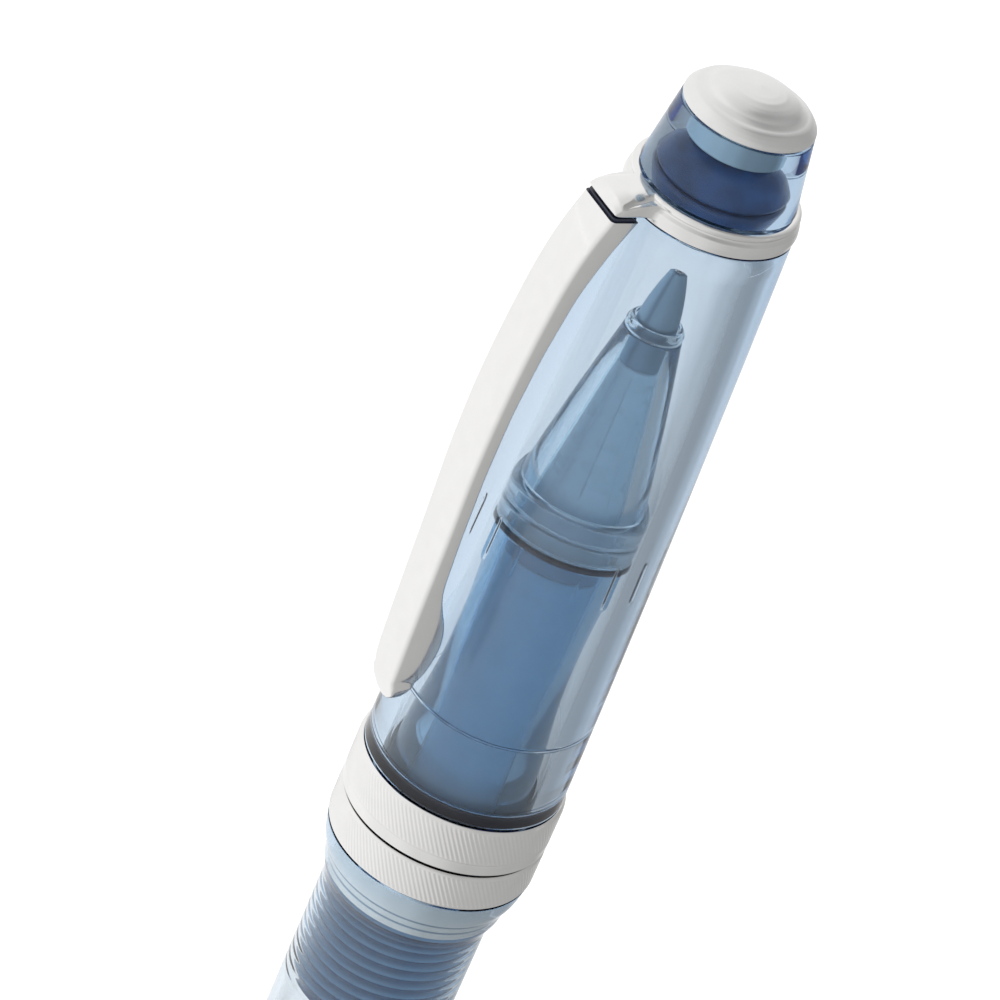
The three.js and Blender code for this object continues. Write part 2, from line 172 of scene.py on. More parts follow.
def rounded(points, closed, edge=EDGE):
    """The outline with its sharp corners rounded by about edge and its gentle ones drawn as curves.
    A row close to each rounded corner keeps the flats flat."""
    made = []
    count = len(points)
    for i, corner in enumerate(points):
        if not closed and i in (0, count - 1):
            made.append(corner)
            continue
        before = points[i - 1] - corner
        after = points[(i + 1) % count] - corner
        shorter = min(np.linalg.norm(before), np.linalg.norm(after))
        room = 0.45 * shorter  # under half, so that the corners at its two ends stay apart
        u = before / np.linalg.norm(before)
        v = after / np.linalg.norm(after)
        turn = 180 - math.degrees(math.acos(np.clip(u @ v, -1, 1)))
        if turn < STRAIGHT_TURN:
            made.append(corner)
            continue
        cut = room if turn < GENTLE_TURN else min(edge, room)
        guard = min(cut + CORNER_GUARD, 0.49 * shorter)
        steps = max(2, round(turn / TURN_A_STEP))
        made.append(corner + guard * u)
        for k in range(steps + 1):
            t = k / steps
            made.append(corner + cut * ((1 - t) ** 2 * u + t ** 2 * v))
        made.append(corner + guard * v)
    return np.array(made)


def with_rows(points, closed, low, high, step):
    """Extra points along the outline between two heights, no further apart than step."""
    made = []
    count = len(points)
    for i in range(count if closed else count - 1):
        a, b = points[i], points[(i + 1) % count]
        made.append(a)
        if max(a[1], b[1]) < low or min(a[1], b[1]) > high:
            continue
        pieces = math.ceil(np.linalg.norm(b - a) / step)
        made += [a + (b - a) * k / pieces for k in range(1, pieces)]
    if not closed:
        made.append(points[-1])
    return np.array(made)


# ---------------------------------------------------------------- meshes

def add_mesh(name, vertices, faces, finish):
    mesh = bpy.data.meshes.new(name)
    mesh.from_pydata([tuple(v) for v in vertices], [], faces)
    mesh.validate()
    mesh.materials.append(finish)
    mesh.shade_smooth()
    piece = bpy.data.objects.new(name, mesh)
    bpy.context.scene.collection.objects.link(piece)
    return piece


def stand_for(piece, node):
    """The piece replaces the CAD node, on its body."""
    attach(piece, BODY_OF[node])
    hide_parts(node)
    return piece


SEGMENTS = 160


def spun(name, profile, closed, finish, segments=SEGMENTS, twist=0.0, shape=None):
    """The profile turned round the axis. twist, in radians a metre, slants the columns of vertices.
    shape(radius, height, angle) gives each vertex its own radius."""
    rows = len(profile)
    angle = np.arange(segments) * 2 * math.pi / segments
    radius = np.repeat(profile[:, :1], segments, axis=1)
    height = np.repeat(profile[:, 1:], segments, axis=1)
    angle = angle[None, :] + twist * (height - height.min())
    if shape:
        radius = shape(radius, height, angle)
    vertices = np.stack([radius * np.cos(angle), radius * np.sin(angle), height], axis=-1)
    faces = []
    for i in range(rows if closed else rows - 1):
        k = (i + 1) % rows
        for j in range(segments):
            n = (j + 1) % segments
            face = [i * segments + j, i * segments + n, k * segments + n, k * segments + j]
            faces.append(face)
    vertices = vertices.reshape(-1, 3)
    if not closed:
        faces, vertices = with_poles(faces, vertices, rows, segments)
    return add_mesh(name, vertices, faces, finish)


def with_poles(faces, vertices, rows, segments):
    """The first and last rows lie on the axis: each becomes one vertex."""
    last = (rows - 1) * segments

    def merged(i):
        if i < segments:
            return 0
        return last if i >= last else i

    kept = []
    for face in faces:
        face = list(dict.fromkeys(merged(i) for i in face))
        if len(face) > 2:
            kept.append(face)
    used = sorted({i for face in kept for i in face})
    place = {old: new for new, old in enumerate(used)}
    return [[place[i] for i in face] for face in kept], vertices[used]


def turned(node, finish, edge=EDGE, segments=SEGMENTS, rows=None, **options):
    """A round piece on the CAD node's own outline, and standing for it.
    An outline that starts on the axis is open: its piece has poles."""
    points = outline(node)
    closed = points[0][0] > 10 * ON_AXIS
    profile = rounded(points, closed, edge)
    if rows:
        profile = with_rows(profile, closed, *rows)
    return stand_for(spun(node + "_form", profile, closed, finish, segments, **options), node)


def zigzag(phase):
    """A triangle wave from 0 to 1 and back, once for each whole number."""
    return 1 - np.abs(2 * (phase % 1) - 1)


def rolled(phase):
    """A rounded wave from 0 to 1 and back, once for each whole number."""
    return 0.5 - 0.5 * np.cos(2 * math.pi * phase)


def bump_between(value, low, high, soft):
    """1 between low and high, easing to 0 over soft outside them."""
    rise = np.clip((value - low) / soft + 1, 0, 1)
    fall = np.clip((high - value) / soft + 1, 0, 1)
    eased = np.minimum(rise, fall)
    return eased * eased * (3 - 2 * eased)


# ---------------------------------------------------------------- materials

MIX_FACTOR, MIX_FIRST, MIX_SECOND, MIX_RESULT = 0, 6, 7, 2  # a Mix node's sockets, for colours


def new_material(name):
    made = bpy.data.materials.new(name)
    made.use_nodes = True
    nodes = made.node_tree.nodes
    nodes.clear()
    shader = nodes.new("ShaderNodeBsdfPrincipled")
    output = nodes.new("ShaderNodeOutputMaterial")
    made.node_tree.links.new(shader.outputs["BSDF"], output.inputs["Surface"])
    return made, shader, output


FLOW_SCALE = 260  # patches a metre in the resins
WEAR_SCALE = 900  # in the metals
PATCH_SCALE = 700  # in the plastics


def noise(tree, scale, detail, stretch=(1, 1, 1)):
    """A noise pattern in the object's own coordinates. scale is patches a metre."""
    place = tree.nodes.new("ShaderNodeTexCoord")
    mapping = tree.nodes.new("ShaderNodeMapping")
    mapping.inputs["Scale"].default_value = stretch
    pattern = tree.nodes.new("ShaderNodeTexNoise")
    pattern.inputs["Scale"].default_value = scale
    pattern.inputs["Detail"].default_value = detail
    tree.links.new(place.outputs["Object"], mapping.inputs["Vector"])
    tree.links.new(mapping.outputs["Vector"], pattern.inputs["Vector"])
    return pattern.outputs["Fac"]


def ranged(tree, value, low, high):
    """value, from 0 to 1, spread between low and high."""
    spread = tree.nodes.new("ShaderNodeMapRange")
    spread.inputs["To Min"].default_value = low
    spread.inputs["To Max"].default_value = high
    tree.links.new(value, spread.inputs["Value"])
    return spread.outputs["Result"]


def mixed(tree, value, first, second):
    """A colour between two, as value goes from 0 to 1."""
    ramp = tree.nodes.new("ShaderNodeValToRGB")
    ramp.color_ramp.elements[0].color = (*first, 1)
    ramp.color_ramp.elements[1].color = (*second, 1)
    ramp.color_ramp.elements[0].position = 0.3
    ramp.color_ramp.elements[1].position = 0.7
    tree.links.new(value, ramp.inputs["Fac"])
    return ramp.outputs["Color"]


def bumped(tree, shader, height, depth, strength):
    bump = tree.nodes.new("ShaderNodeBump")
    bump.inputs["Distance"].default_value = depth
    bump.inputs["Strength"].default_value = strength
    tree.links.new(height, bump.inputs["Height"])
    tree.links.new(bump.outputs["Normal"], shader.inputs["Normal"])


def resin(name, density, tint=(0.99, 0.99, 0.99), index=1.49, rough=0.0, clear=1.0):
    """Polished resin with faint flow marks from the mould. It is coloured by tint where light goes in
    and out, and by density through its thickness. Less than clear 1, some light is scattered back.
    A piece set in other resin has an index near 1, because light goes straight on into it."""
    made, shader, output = new_material(name)
    tree = made.node_tree
    shader.inputs["Transmission Weight"].default_value = clear
    shader.inputs["IOR"].default_value = index
    flow = noise(tree, FLOW_SCALE, 2, (1, 1, 0.25))
    tree.links.new(ranged(tree, flow, rough, rough + 0.012), shader.inputs["Roughness"])
    tree.links.new(mixed(tree, flow, [0.99 * c for c in tint], tint), shader.inputs["Base Color"])
    bumped(tree, shader, flow, 0.004 * MM, 0.25)
    absorb = tree.nodes.new("ShaderNodeVolumeAbsorption")
    absorb.inputs["Color"].default_value = (*TINT, 1)
    absorb.inputs["Density"].default_value = density
    tree.links.new(absorb.outputs["Volume"], output.inputs["Volume"])
    return made


def metal(name, colour, rough, grain, depth, stretch=(1, 1, 1)):
    """Bare or plated metal. grain is scratches a metre, and rough the range of its polish."""
    made, shader, _ = new_material(name)
    tree = made.node_tree
    shader.inputs["Metallic"].default_value = 1
    wear = noise(tree, WEAR_SCALE, 4)
    fine = noise(tree, grain, 2, stretch)
    darker = [0.97 * c for c in colour]
    tree.links.new(mixed(tree, wear, darker, colour), shader.inputs["Base Color"])
    tree.links.new(ranged(tree, wear, *rough), shader.inputs["Roughness"])
    bumped(tree, shader, fine, depth, 0.4)
    return made


def plastic(name, colour, rough, grain=6000, depth=0.004 * MM, spread=0.88):
    """Opaque moulded plastic with a fine grain."""
    made, shader, _ = new_material(name)
    tree = made.node_tree
    patch = noise(tree, PATCH_SCALE, 3)
    fine = noise(tree, grain, 2)
    tree.links.new(mixed(tree, patch, [spread * c for c in colour], colour), shader.inputs["Base Color"])
    tree.links.new(ranged(tree, patch, *rough), shader.inputs["Roughness"])
    bumped(tree, shader, fine, depth, 0.3)
    return made


def painted_hollow_shade(material, painted_shade_colour, reach):
    """Painted shade: the material's colour goes over to a darker given colour where the piece is nearer its axis,
    so that the roots of a thread or the floor of a groove look shaded. reach is the two radii between which it
    changes."""
    tree = material.node_tree
    shader = next(node for node in tree.nodes if node.type == "BSDF_PRINCIPLED")
    colour = shader.inputs["Base Color"].links[0].from_socket
    place = tree.nodes.new("ShaderNodeTexCoord")
    flat = tree.nodes.new("ShaderNodeVectorMath")
    flat.operation = "MULTIPLY"
    flat.inputs[1].default_value = (1, 1, 0)
    radius = tree.nodes.new("ShaderNodeVectorMath")
    radius.operation = "LENGTH"
    share = tree.nodes.new("ShaderNodeMapRange")
    share.inputs["From Min"].default_value, share.inputs["From Max"].default_value = reach
    mix = tree.nodes.new("ShaderNodeMix")
    mix.data_type = "RGBA"
    tree.links.new(place.outputs["Object"], flat.inputs[0])
    tree.links.new(flat.outputs["Vector"], radius.inputs[0])
    tree.links.new(radius.outputs["Value"], share.inputs["Value"])
    tree.links.new(share.outputs["Result"], mix.inputs[MIX_FACTOR])
    # the painted shade colour, used nearest the axis
    mix.inputs[MIX_FIRST].default_value = (*painted_shade_colour, 1)
    tree.links.new(colour, mix.inputs[MIX_SECOND])
    tree.links.new(mix.outputs[MIX_RESULT], shader.inputs["Base Color"])


TINT = (0.08, 0.42, 0.71)  # what is left of each colour; the densities below say how fast
CLEAR = resin("clear_resin_mat", 150)
CLEAR_SET = resin("clear_set_mat", 20, index=1.01)
COLLAR = resin("collar_resin_mat", 110, index=1.36)
BARREL = resin("barrel_resin_mat", 170, (0.95, 0.97, 0.98))
NOSE = resin("nose_resin_mat", 40, (0.77, 0.89, 0.96), index=1.42, clear=0.97)
BLUE = resin("blue_resin_mat", 60, (0.45, 0.70, 0.90), clear=0.86)
RING_BLUE = resin("ring_resin_mat", 60, (0.68, 0.84, 0.95), clear=0.85)
DARK = resin("dark_resin_mat", 60, (0.15, 0.32, 0.53), rough=0.08, clear=0.35)
# Painted shade: the sleeve's thread roots are coloured darker than its crests.
painted_hollow_shade(DARK, (0.034, 0.10, 0.23), (SLEEVE_THREAD_ROOT, 4.6 * MM))
BLACK = plastic("black_plastic_mat", (0.010, 0.013, 0.030), (0.25, 0.4))
PLATING = metal("plating_mat", (0.84, 0.835, 0.825), (0.06, 0.12), 9000, 0.0006 * MM)
SATIN = metal("satin_metal_mat", (0.80, 0.797, 0.79), (0.27, 0.34), 16000, 0.002 * MM, (1, 1, 5))
STEEL = metal("steel_mat", (0.62, 0.64, 0.66), (0.18, 0.28), 12000, 0.001 * MM, (1, 1, 6))
STEM = metal("stem_mat", (0.38, 0.51, 0.60), (0.08, 0.14), 9000, 0.0006 * MM)
TIP_STEEL = metal("tip_steel_mat", (0.31, 0.46, 0.59), (0.42, 0.5), 12000, 0.001 * MM, (1, 1, 6))
CARBIDE = metal("carbide_mat", (0.52, 0.53, 0.55), (0.08, 0.14), 15000, 0.0005 * MM)
SLEEVE_TOP = metal("sleeve_top_mat", (0.88, 0.88, 0.86), (0.18, 0.26), 12000, 0.001 * MM, (1, 1, 5))
# Painted shade: the floors of the plated sleeve's two grooves are coloured dark blue-grey.
painted_hollow_shade(SLEEVE_TOP, (0.22, 0.34, 0.46), (4.55 * MM, 4.615 * MM))
PALE_BLUE = plastic("pale_blue_plastic_mat", (0.70, 0.83, 0.93), (0.22, 0.34), spread=0.94)
TUBE_BLUE = plastic("tube_blue_mat", (0.80, 0.88, 0.94), (0.16, 0.24), spread=0.92)
DEEP_BLUE = plastic(
    "deep_blue_mat", (0.016, 0.065, 0.19), (0.2, 0.3), grain=900, depth=0.0005 * MM, spread=0.5
)
COLLAR_BLUE = plastic("collar_blue_mat", (0.13, 0.24, 0.38), (0.2, 0.3), spread=0.9)
INK = plastic("ink_mat", (0.015, 0.03, 0.16), (0.05, 0.1))
GREASE = plastic("grease_mat", (0.80, 0.76, 0.55), (0.2, 0.3))


# ---------------------------------------------------------------- barrel and refill

def male_thread(radius, height, angle):
    """A right-hand thread on the sleeve, climbing one pitch a turn, with two grooves above it."""
    top = SLEEVE_THREAD_TOP
    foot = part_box("thread_sleeve")[0].z
    inside = bump_between(height, foot + 1.2 * MM, top - 0.6 * MM, 0.5 * MM)
    outer = radius > SLEEVE_OUTSIDE
    phase = height / PITCH - angle / (2 * math.pi)
    crest = SLEEVE_THREAD_ROOT + SLEEVE_THREAD_DEPTH * inside * rolled(phase)
    threaded = np.where(outer & (height < top), crest, radius)
    for groove in SLEEVE_GROOVES:
        cut = bump_between(height, groove, groove, SLEEVE_GROOVE_HALF)
        threaded = threaded - SLEEVE_GROOVE_DEPTH * outer * cut
    return threaded


def female_thread(radius, height, angle):
    """The same thread in the barrel's bore, but shallow, and half a pitch out to fit the sleeve's."""
    inside = bump_between(height, BORE_THREAD_FOOT, BORE_THREAD_TOP - 0.3 * MM, 0.4 * MM)
    bore = (radius < BORE_INSIDE) & (height > BORE_FOOT)
    phase = height / PITCH - angle / (2 * math.pi) + 0.5
    return np.where(bore, radius - BORE_THREAD_DEPTH * inside * rolled(phase), radius)


def make_barrel():
    thread_rows = (SEAM_Z - 15.4 * MM, SEAM_Z - 6 * MM, PITCH / 8)
    turned("barrel_shell", BARREL, segments=144, rows=thread_rows, shape=female_thread)
    turned("barrel_plug", SATIN, edge=0.2 * MM)


def make_spring():
    """A coil with closed ends. The mesh keeps one shape, though the real spring is squeezed when the refill is
    pushed back.
    """
    low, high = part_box("refill_spring")
    wire = SPRING_WIRE
    mean = high.x - wire
    turns, per_turn, sides = 6, 36, 10
    count = turns * per_turn
    vertices, faces = [], []
    for i in range(count + 1):
        t = i / count
        lift = np.interp(t, [0, 1 / turns, 1 - 1 / turns, 1], [0, 0.09, 0.91, 1])
        angle = 2 * math.pi * turns * t
        middle = low.z + wire + lift * (high.z - low.z - 2 * wire)
        for k in range(sides):
            around = 2 * math.pi * k / sides
            reach = mean + wire * math.cos(around)
            vertices.append(
                (reach * math.cos(angle), reach * math.sin(angle), middle + wire * math.sin(around))
            )
    for i in range(count):
        for k in range(sides):
            n = (k + 1) % sides
            faces.append([i * sides + k, (i + 1) * sides + k, (i + 1) * sides + n, i * sides + n])
    faces.append([k for k in range(sides)])
    faces.append([count * sides + k for k in reversed(range(sides))])
    piece = stand_for(add_mesh("refill_spring_form", vertices, faces, STEEL), "refill_spring")
    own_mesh(piece)


def holder_ribs(radius, height, angle):
    """Wide flat-topped ribs down the cone that holds the tip."""
    cone = bump_between(height, HOLDER_RIBS_FOOT, HOLDER_RIBS_TOP, 0.3 * MM) * (radius > HOLDER_OUTSIDE)
    across = zigzag((angle + HOLDER_RIB_TURN) * HOLDER_RIBS / (2 * math.pi))
    valley = 1 - bump_between(across, 0.5, 1, 0.05)
    return radius - HOLDER_RIB_DEPTH * cone * valley


def make_refill():
    turned("refill_tube", TUBE_BLUE, edge=0.12 * MM)
    turned("refill_rear_plug", PALE_BLUE, edge=0.15 * MM)
    rows = (SEAM_Z + 25 * MM, SEAM_Z + 33.5 * MM, 0.25 * MM)
    holder = turned("refill_tip_holder", PALE_BLUE, 0.15 * MM, 300, rows, shape=holder_ribs)
    holder.data.materials.append(COLLAR_BLUE)
    band_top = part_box("refill_tube")[1].z + HOLDER_BAND
    for face in holder.data.polygons:
        top = max(holder.data.vertices[i].co.z for i in face.vertices)
        face.material_index = 1 if top < band_top else 0
    turned("refill_ink", INK)
    turned("refill_follower", GREASE)
    turned("refill_tip", TIP_STEEL, edge=0.03 * MM, segments=96)
    low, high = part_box("refill_ball")
    middle, radius = (low.z + high.z) / 2, (high.z - low.z) / 2
    steps = 24
    arc = [
        (radius * math.sin(math.pi * k / steps), middle - radius * math.cos(math.pi * k / steps))
        for k in range(steps + 1)
    ]
    stand_for(spun("refill_ball_form", np.array(arc), False, CARBIDE, 48), "refill_ball")


# ---------------------------------------------------------------- section

def knurled(node, low, high):
    """A plated band with slanted ridges cut between two heights."""
    radius_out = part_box(node)[1].x
    twist = math.tan(KNURL_SLANT) / radius_out
    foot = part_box(node)[0].z

    def ridges(radius, height, angle):
        straight = angle - twist * (height - foot)
        cut = bump_between(height, low, high, 0.08 * MM)
        outer = radius > radius_out - 0.02 * MM
        depth = KNURL_DEPTH * cut * (1 - zigzag(straight * KNURL_RIDGES / (2 * math.pi)))
        return np.where(outer, radius - depth, radius)

    rows = (low - 0.2 * MM, high + 0.2 * MM, 0.16 * MM)
    turned(node, PLATING, segments=KNURL_RIDGES * 4, rows=rows, twist=twist, shape=ridges)


def make_section():
    turned("section_body", BLUE, edge=0.1 * MM)
    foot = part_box("thread_sleeve")[0].z
    rows = (foot, SEAM_Z - 4.4 * MM, PITCH / 12)
    sleeve = turned("thread_sleeve", DARK, segments=144, rows=rows, shape=male_thread)
    sleeve.data.materials.append(SLEEVE_TOP)
    for face in sleeve.data.polygons:
        low = min(sleeve.data.vertices[i].co.z for i in face.vertices)
        face.material_index = 1 if low > SLEEVE_BRIGHT_FOOT else 0
    low, high = (corner.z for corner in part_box("section_band"))
    knurled("section_band", low + 0.25 * MM, high - 0.25 * MM)
    turned("cap_seal", BLACK, edge=0.12 * MM)
    turned("grip_collar", RING_BLUE, edge=0.15 * MM)
    turned("grip_ring", RING_BLUE, edge=0.15 * MM)
    turned("nose_cone", NOSE, edge=0.12 * MM)
    turned("nose_ring", NOSE, edge=0.1 * MM)


# ---------------------------------------------------------------- cap

def guide_ribs(radius, height, angle):
    """Small upright ribs in the cap's bore that centre the grip."""
    near = ((angle - GUIDE_RIB_TURN) * GUIDE_RIBS / (2 * math.pi) + 0.5) % 1 - 0.5
    across = np.abs(near) * 2 * math.pi / GUIDE_RIBS * radius
    along = bump_between(height, GUIDE_RIBS_FOOT, GUIDE_RIBS_TOP, 0.1 * MM)
    rib = along * bump_between(across, 0, GUIDE_RIB_HALF, 0.09 * MM)
    return np.where(radius < CAP_BORE, radius - GUIDE_RIB_DEPTH * rib, radius)


def cap_bore(radius, height, angle):
    """The cap's shell with its guide ribs, moulded close round the insert and the liner."""
    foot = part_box("cap_shell")[0].z
    liner_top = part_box("cap_liner")[1].z
    seat = (radius > CAP_SEAT[0]) & (radius < CAP_SEAT[1])
    beside = (height > foot - MM) & (height < liner_top + 0.01 * MM)
    return np.where(seat & beside, radius - CAP_SEAT_DRAWN_IN, guide_ribs(radius, height, angle))


def make_cap():
    rib_rows = (SEAM_Z + 19.2 * MM, SEAM_Z + 22.6 * MM, 0.2 * MM)
    turned("cap_shell", CLEAR, segments=GUIDE_RIBS * 24, rows=rib_rows, shape=cap_bore)
    turned("cap_liner", CLEAR_SET, edge=0.1 * MM)
    turned("cap_insert", BLACK, edge=0.12 * MM)
    knurled("cap_band", CAP_KNURL_FOOT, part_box("cap_band")[1].z - 0.3 * MM)


def domed_base(radius, height, angle):
    """The base's side draws in as it nears its top."""
    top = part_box("finial_base")[1].z
    share = np.clip((height - top) / BASE_DOME_HEIGHT + 1, 0, 1)
    return radius * (1 - BASE_DOME * share ** BASE_DOME_POWER)


def make_finial():
    """The button, the collar, and the stem and base that show inside it."""
    make_button()
    make_collar()
    turned("finial_stem", STEM, edge=0.1 * MM)
    base_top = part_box("finial_base")[1].z
    rows = (base_top - 3 * MM, base_top, 0.1 * MM)
    turned("finial_base", DEEP_BLUE, edge=0.4 * MM, rows=rows, shape=domed_base)


def make_button():
    """The button on top, lowered in a ring round its disc."""
    dome = rounded(outline("finial_dome"), False, 0.25 * MM)
    dome = with_rows(dome, False, dome[:, 1].min(), dome[:, 1].max(), 0.12 * MM)
    upper = dome[:, 1] > dome[:, 1].min() + BUTTON_SIDE
    dome[:, 1] -= BUTTON_GROOVE_DEPTH * upper * bump_between(dome[:, 0], *BUTTON_GROOVE, BUTTON_GROOVE_SOFT)
    stand_for(spun("finial_dome_form", dome, False, SATIN), "finial_dome")


def make_collar():
    """The collar is cast solid round the stem and base, with no air between."""
    points = outline("finial_collar")
    foot, top = points[:, 1].min(), points[:, 1].max()
    foot_r = points[points[:, 1] == foot, 0].max()
    top_r = points[points[:, 1] == top, 0].max()
    side = np.array([(0, foot), (foot_r, foot), (top_r, top), (0, top)])
    collar = spun("finial_collar_form", rounded(side, False, 0.12 * MM), False, COLLAR)
    stand_for(collar, "finial_collar")


# ---------------------------------------------------------------- clip

def slice_at(node, height):
    """The node's nearest and furthest reach in front of the axis, and its half width, at a height."""
    mesh = frame["nodes"][node].data
    front, side = [], []
    for edge in mesh.edges:
        a, b = (mesh.vertices[i].co for i in edge.vertices)
        if (a.z - height) * (b.z - height) < 0:
            place = a.lerp(b, (height - a.z) / (b.z - a.z))
            front.append(-place.y)
            side.append(abs(place.x))
    return min(front), max(front), max(side)


def smoothed(values, passes):
    """Each value eased towards its neighbours, ends kept."""
    values = np.array(values, float)
    for _ in range(passes):
        values[1:-1] = (values[:-2] + 2 * values[1:-1] + values[2:]) / 4
    return values


CORNER_POINTS = 6


def section_loop(inner, outer, half, soft_inner, soft_outer):
    """A rounded rectangle across the arm, seen from above: [across, in front of the axis]."""
    corners = [
        (half, outer, soft_outer, 90, 0),
        (half, inner, soft_inner, 0, -90),
        (-half, inner, soft_inner, -90, -180),
        (-half, outer, soft_outer, 180, 90),
    ]
    limit = 0.48 * min(2 * half, outer - inner)
    loop = []
    for across, front, soft, start, stop in corners:
        soft = min(soft, limit)
        middle = (across - math.copysign(soft, across), front + (soft if front == inner else -soft))
        for k in range(CORNER_POINTS):
            turn = math.radians(start + (stop - start) * k / (CORNER_POINTS - 1))
            loop.append((middle[0] + soft * math.cos(turn), middle[1] + soft * math.sin(turn)))
    return loop


ARM_ROWS = 150


def arm_top():
    """Where the arm's plated part ends: a little below the shoulder, and still at its full reach."""
    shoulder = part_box("clip_ring")[0].z + 0.35 * MM
    top = shoulder - 0.38 * MM
    while slice_at("clip_arm", top)[1] < ARM_FULL_REACH:
        top -= 0.01 * MM
    return top


def arm_loops(low, high, top):
    """The loops across the arm, from its tip up to its dark hinge end, and the height of each."""
    heights = np.linspace(low + 0.03 * MM, top, ARM_ROWS)
    cuts = np.array([slice_at("clip_arm", h) for h in heights])
    inner = smoothed(cuts[:, 0], 14)
    outer = smoothed(cuts[:, 1], 40)
    half = cuts[:, 2]
    above_tip = heights > low + ARM_TIP
    half[above_tip] = smoothed(half, 30)[above_tip]
    back_edge = ARM_BACK_EDGE + (ARM_PAD_EDGE - ARM_BACK_EDGE) * bump_between(heights, *ARM_PAD, 1.5 * MM)
    loops = [
        section_loop(inner[i], outer[i], half[i], back_edge[i], ARM_FRONT_EDGE)
        for i in range(ARM_ROWS)
    ]
    inset = HINGE_INSET
    hinge = section_loop(inner[-1] + inset, outer[-1] - inset, half[-1] - inset, 0.1 * MM, 0.25 * MM)
    tongue = section_loop(*slice_at("clip_arm", high - 0.2 * MM), 0.05 * MM, 0.05 * MM)
    hinge_top = top + HINGE_HEIGHT
    return [*loops, hinge, hinge, tongue, tongue], [*heights, top, hinge_top, hinge_top, high]


def make_clip_arm():
    """Arched arm with crisp outer edges, a flat pad facing the cap and a dark hinge end."""
    low, high = (corner.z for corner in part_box("clip_arm"))
    top = arm_top()
    loops, heights = arm_loops(low, high, top)
    around = len(loops[0])
    vertices = [(x, -front, z) for loop, z in zip(loops, heights) for x, front in loop]
    faces = []
    for i in range(len(loops) - 1):
        for k in range(around):
            n = (k + 1) % around
            faces.append([i * around + k, i * around + n, (i + 1) * around + n, (i + 1) * around + k])
    faces.append([k for k in reversed(range(around))])
    faces.append([(len(loops) - 1) * around + k for k in range(around)])
    piece = add_mesh("clip_arm_form", vertices, faces, PLATING)
    piece.data.materials.append(BLACK)
    for face in piece.data.polygons:
        hidden = min(piece.data.vertices[i].co.z for i in face.vertices) > top - 0.001 * MM
        face.material_index = 1 if hidden else 0
    piece.data.set_sharp_from_angle(angle=math.radians(50))
    stand_for(piece, "clip_arm")


def joined_smoothly(first, second, reach):
    """The larger of two, with a fillet where they are within reach of each other."""
    near = np.clip(reach - np.abs(first - second), 0, None) / reach
    return np.maximum(first, second) + near * near * reach / 4


def ring_side(heights, foot, top):
    """The ring's own outside: a rounded band below a thin lip."""
    radius = np.interp(heights, *zip(
        (foot, 5.0 * MM), (foot + 0.1 * MM, 5.12 * MM), (foot + 0.45 * MM, 5.16 * MM),
        (foot + 0.8 * MM, 5.09 * MM), (foot + 0.96 * MM, 4.88 * MM), (foot + 1.04 * MM, 4.84 * MM),
        (foot + 1.12 * MM, 4.93 * MM), (foot + 1.3 * MM, 4.99 * MM), (foot + 1.42 * MM, 4.95 * MM),
        (top - 0.03 * MM, 4.84 * MM), (top, 4.7 * MM),
    ))
    return smoothed(radius, 1)


def ring_heights(low, ledge, high):
    """Rows up the ring, close together at the shoulder's foot and near the top."""
    return np.unique(np.concatenate([
        np.linspace(low, ledge - 0.01 * MM, 12),
        np.linspace(ledge, ledge + SHOULDER_EDGE, 6),
        np.linspace(ledge + 0.15 * MM, high - 0.4 * MM, 26),
        np.linspace(high - 0.385 * MM, high, 40),
    ]))


def ring_offsets():
    """Directions round the ring in radians from straight ahead, close together by the shoulder's sides."""
    ahead = np.radians(np.arange(0, 8, 0.5))
    sides = np.radians(np.arange(8, 32, 0.15))
    behind = np.radians(np.arange(32, 180, 1.5))
    one_side = np.concatenate([ahead, sides, behind])
    return np.concatenate([one_side, [math.pi], -one_side[:0:-1]])


def shoulder_reach(heights, off, ledge, half, high):
    """How far the shoulder stands out from the axis: a row for each direction, 0 where it has ended."""
    steps = np.linspace(ledge + 0.005 * MM, high - 0.03 * MM, 60)
    reach = smoothed([slice_at("clip_ring", h)[1] for h in steps], 6)
    steps = np.append(steps, high + 0.05 * MM)
    reach = np.append(reach, 4.2 * MM)
    level = np.interp(heights, steps, reach)[None, :]
    across = np.minimum(half, level * np.tan(np.minimum(off, SHOULDER_WIDEST)))
    fall = SHOULDER_CROWN * (across / half) ** 3
    front = np.interp(heights[None, :] + fall, steps, reach) / np.cos(np.minimum(off, 1.4))
    side = half / np.sin(np.clip(off, 0.05, math.pi / 2))
    shoulder = -joined_smoothly(-front, -side, SHOULDER_FILLETS[0])
    rise = np.clip((heights - ledge) / SHOULDER_EDGE, 0, 1)[None, :]
    shoulder = shoulder - SHOULDER_EDGE_DEPTH * (1 - rise) ** 2
    return np.where((heights[None, :] < ledge) | (off > SHOULDER_WIDEST), 0, shoulder)


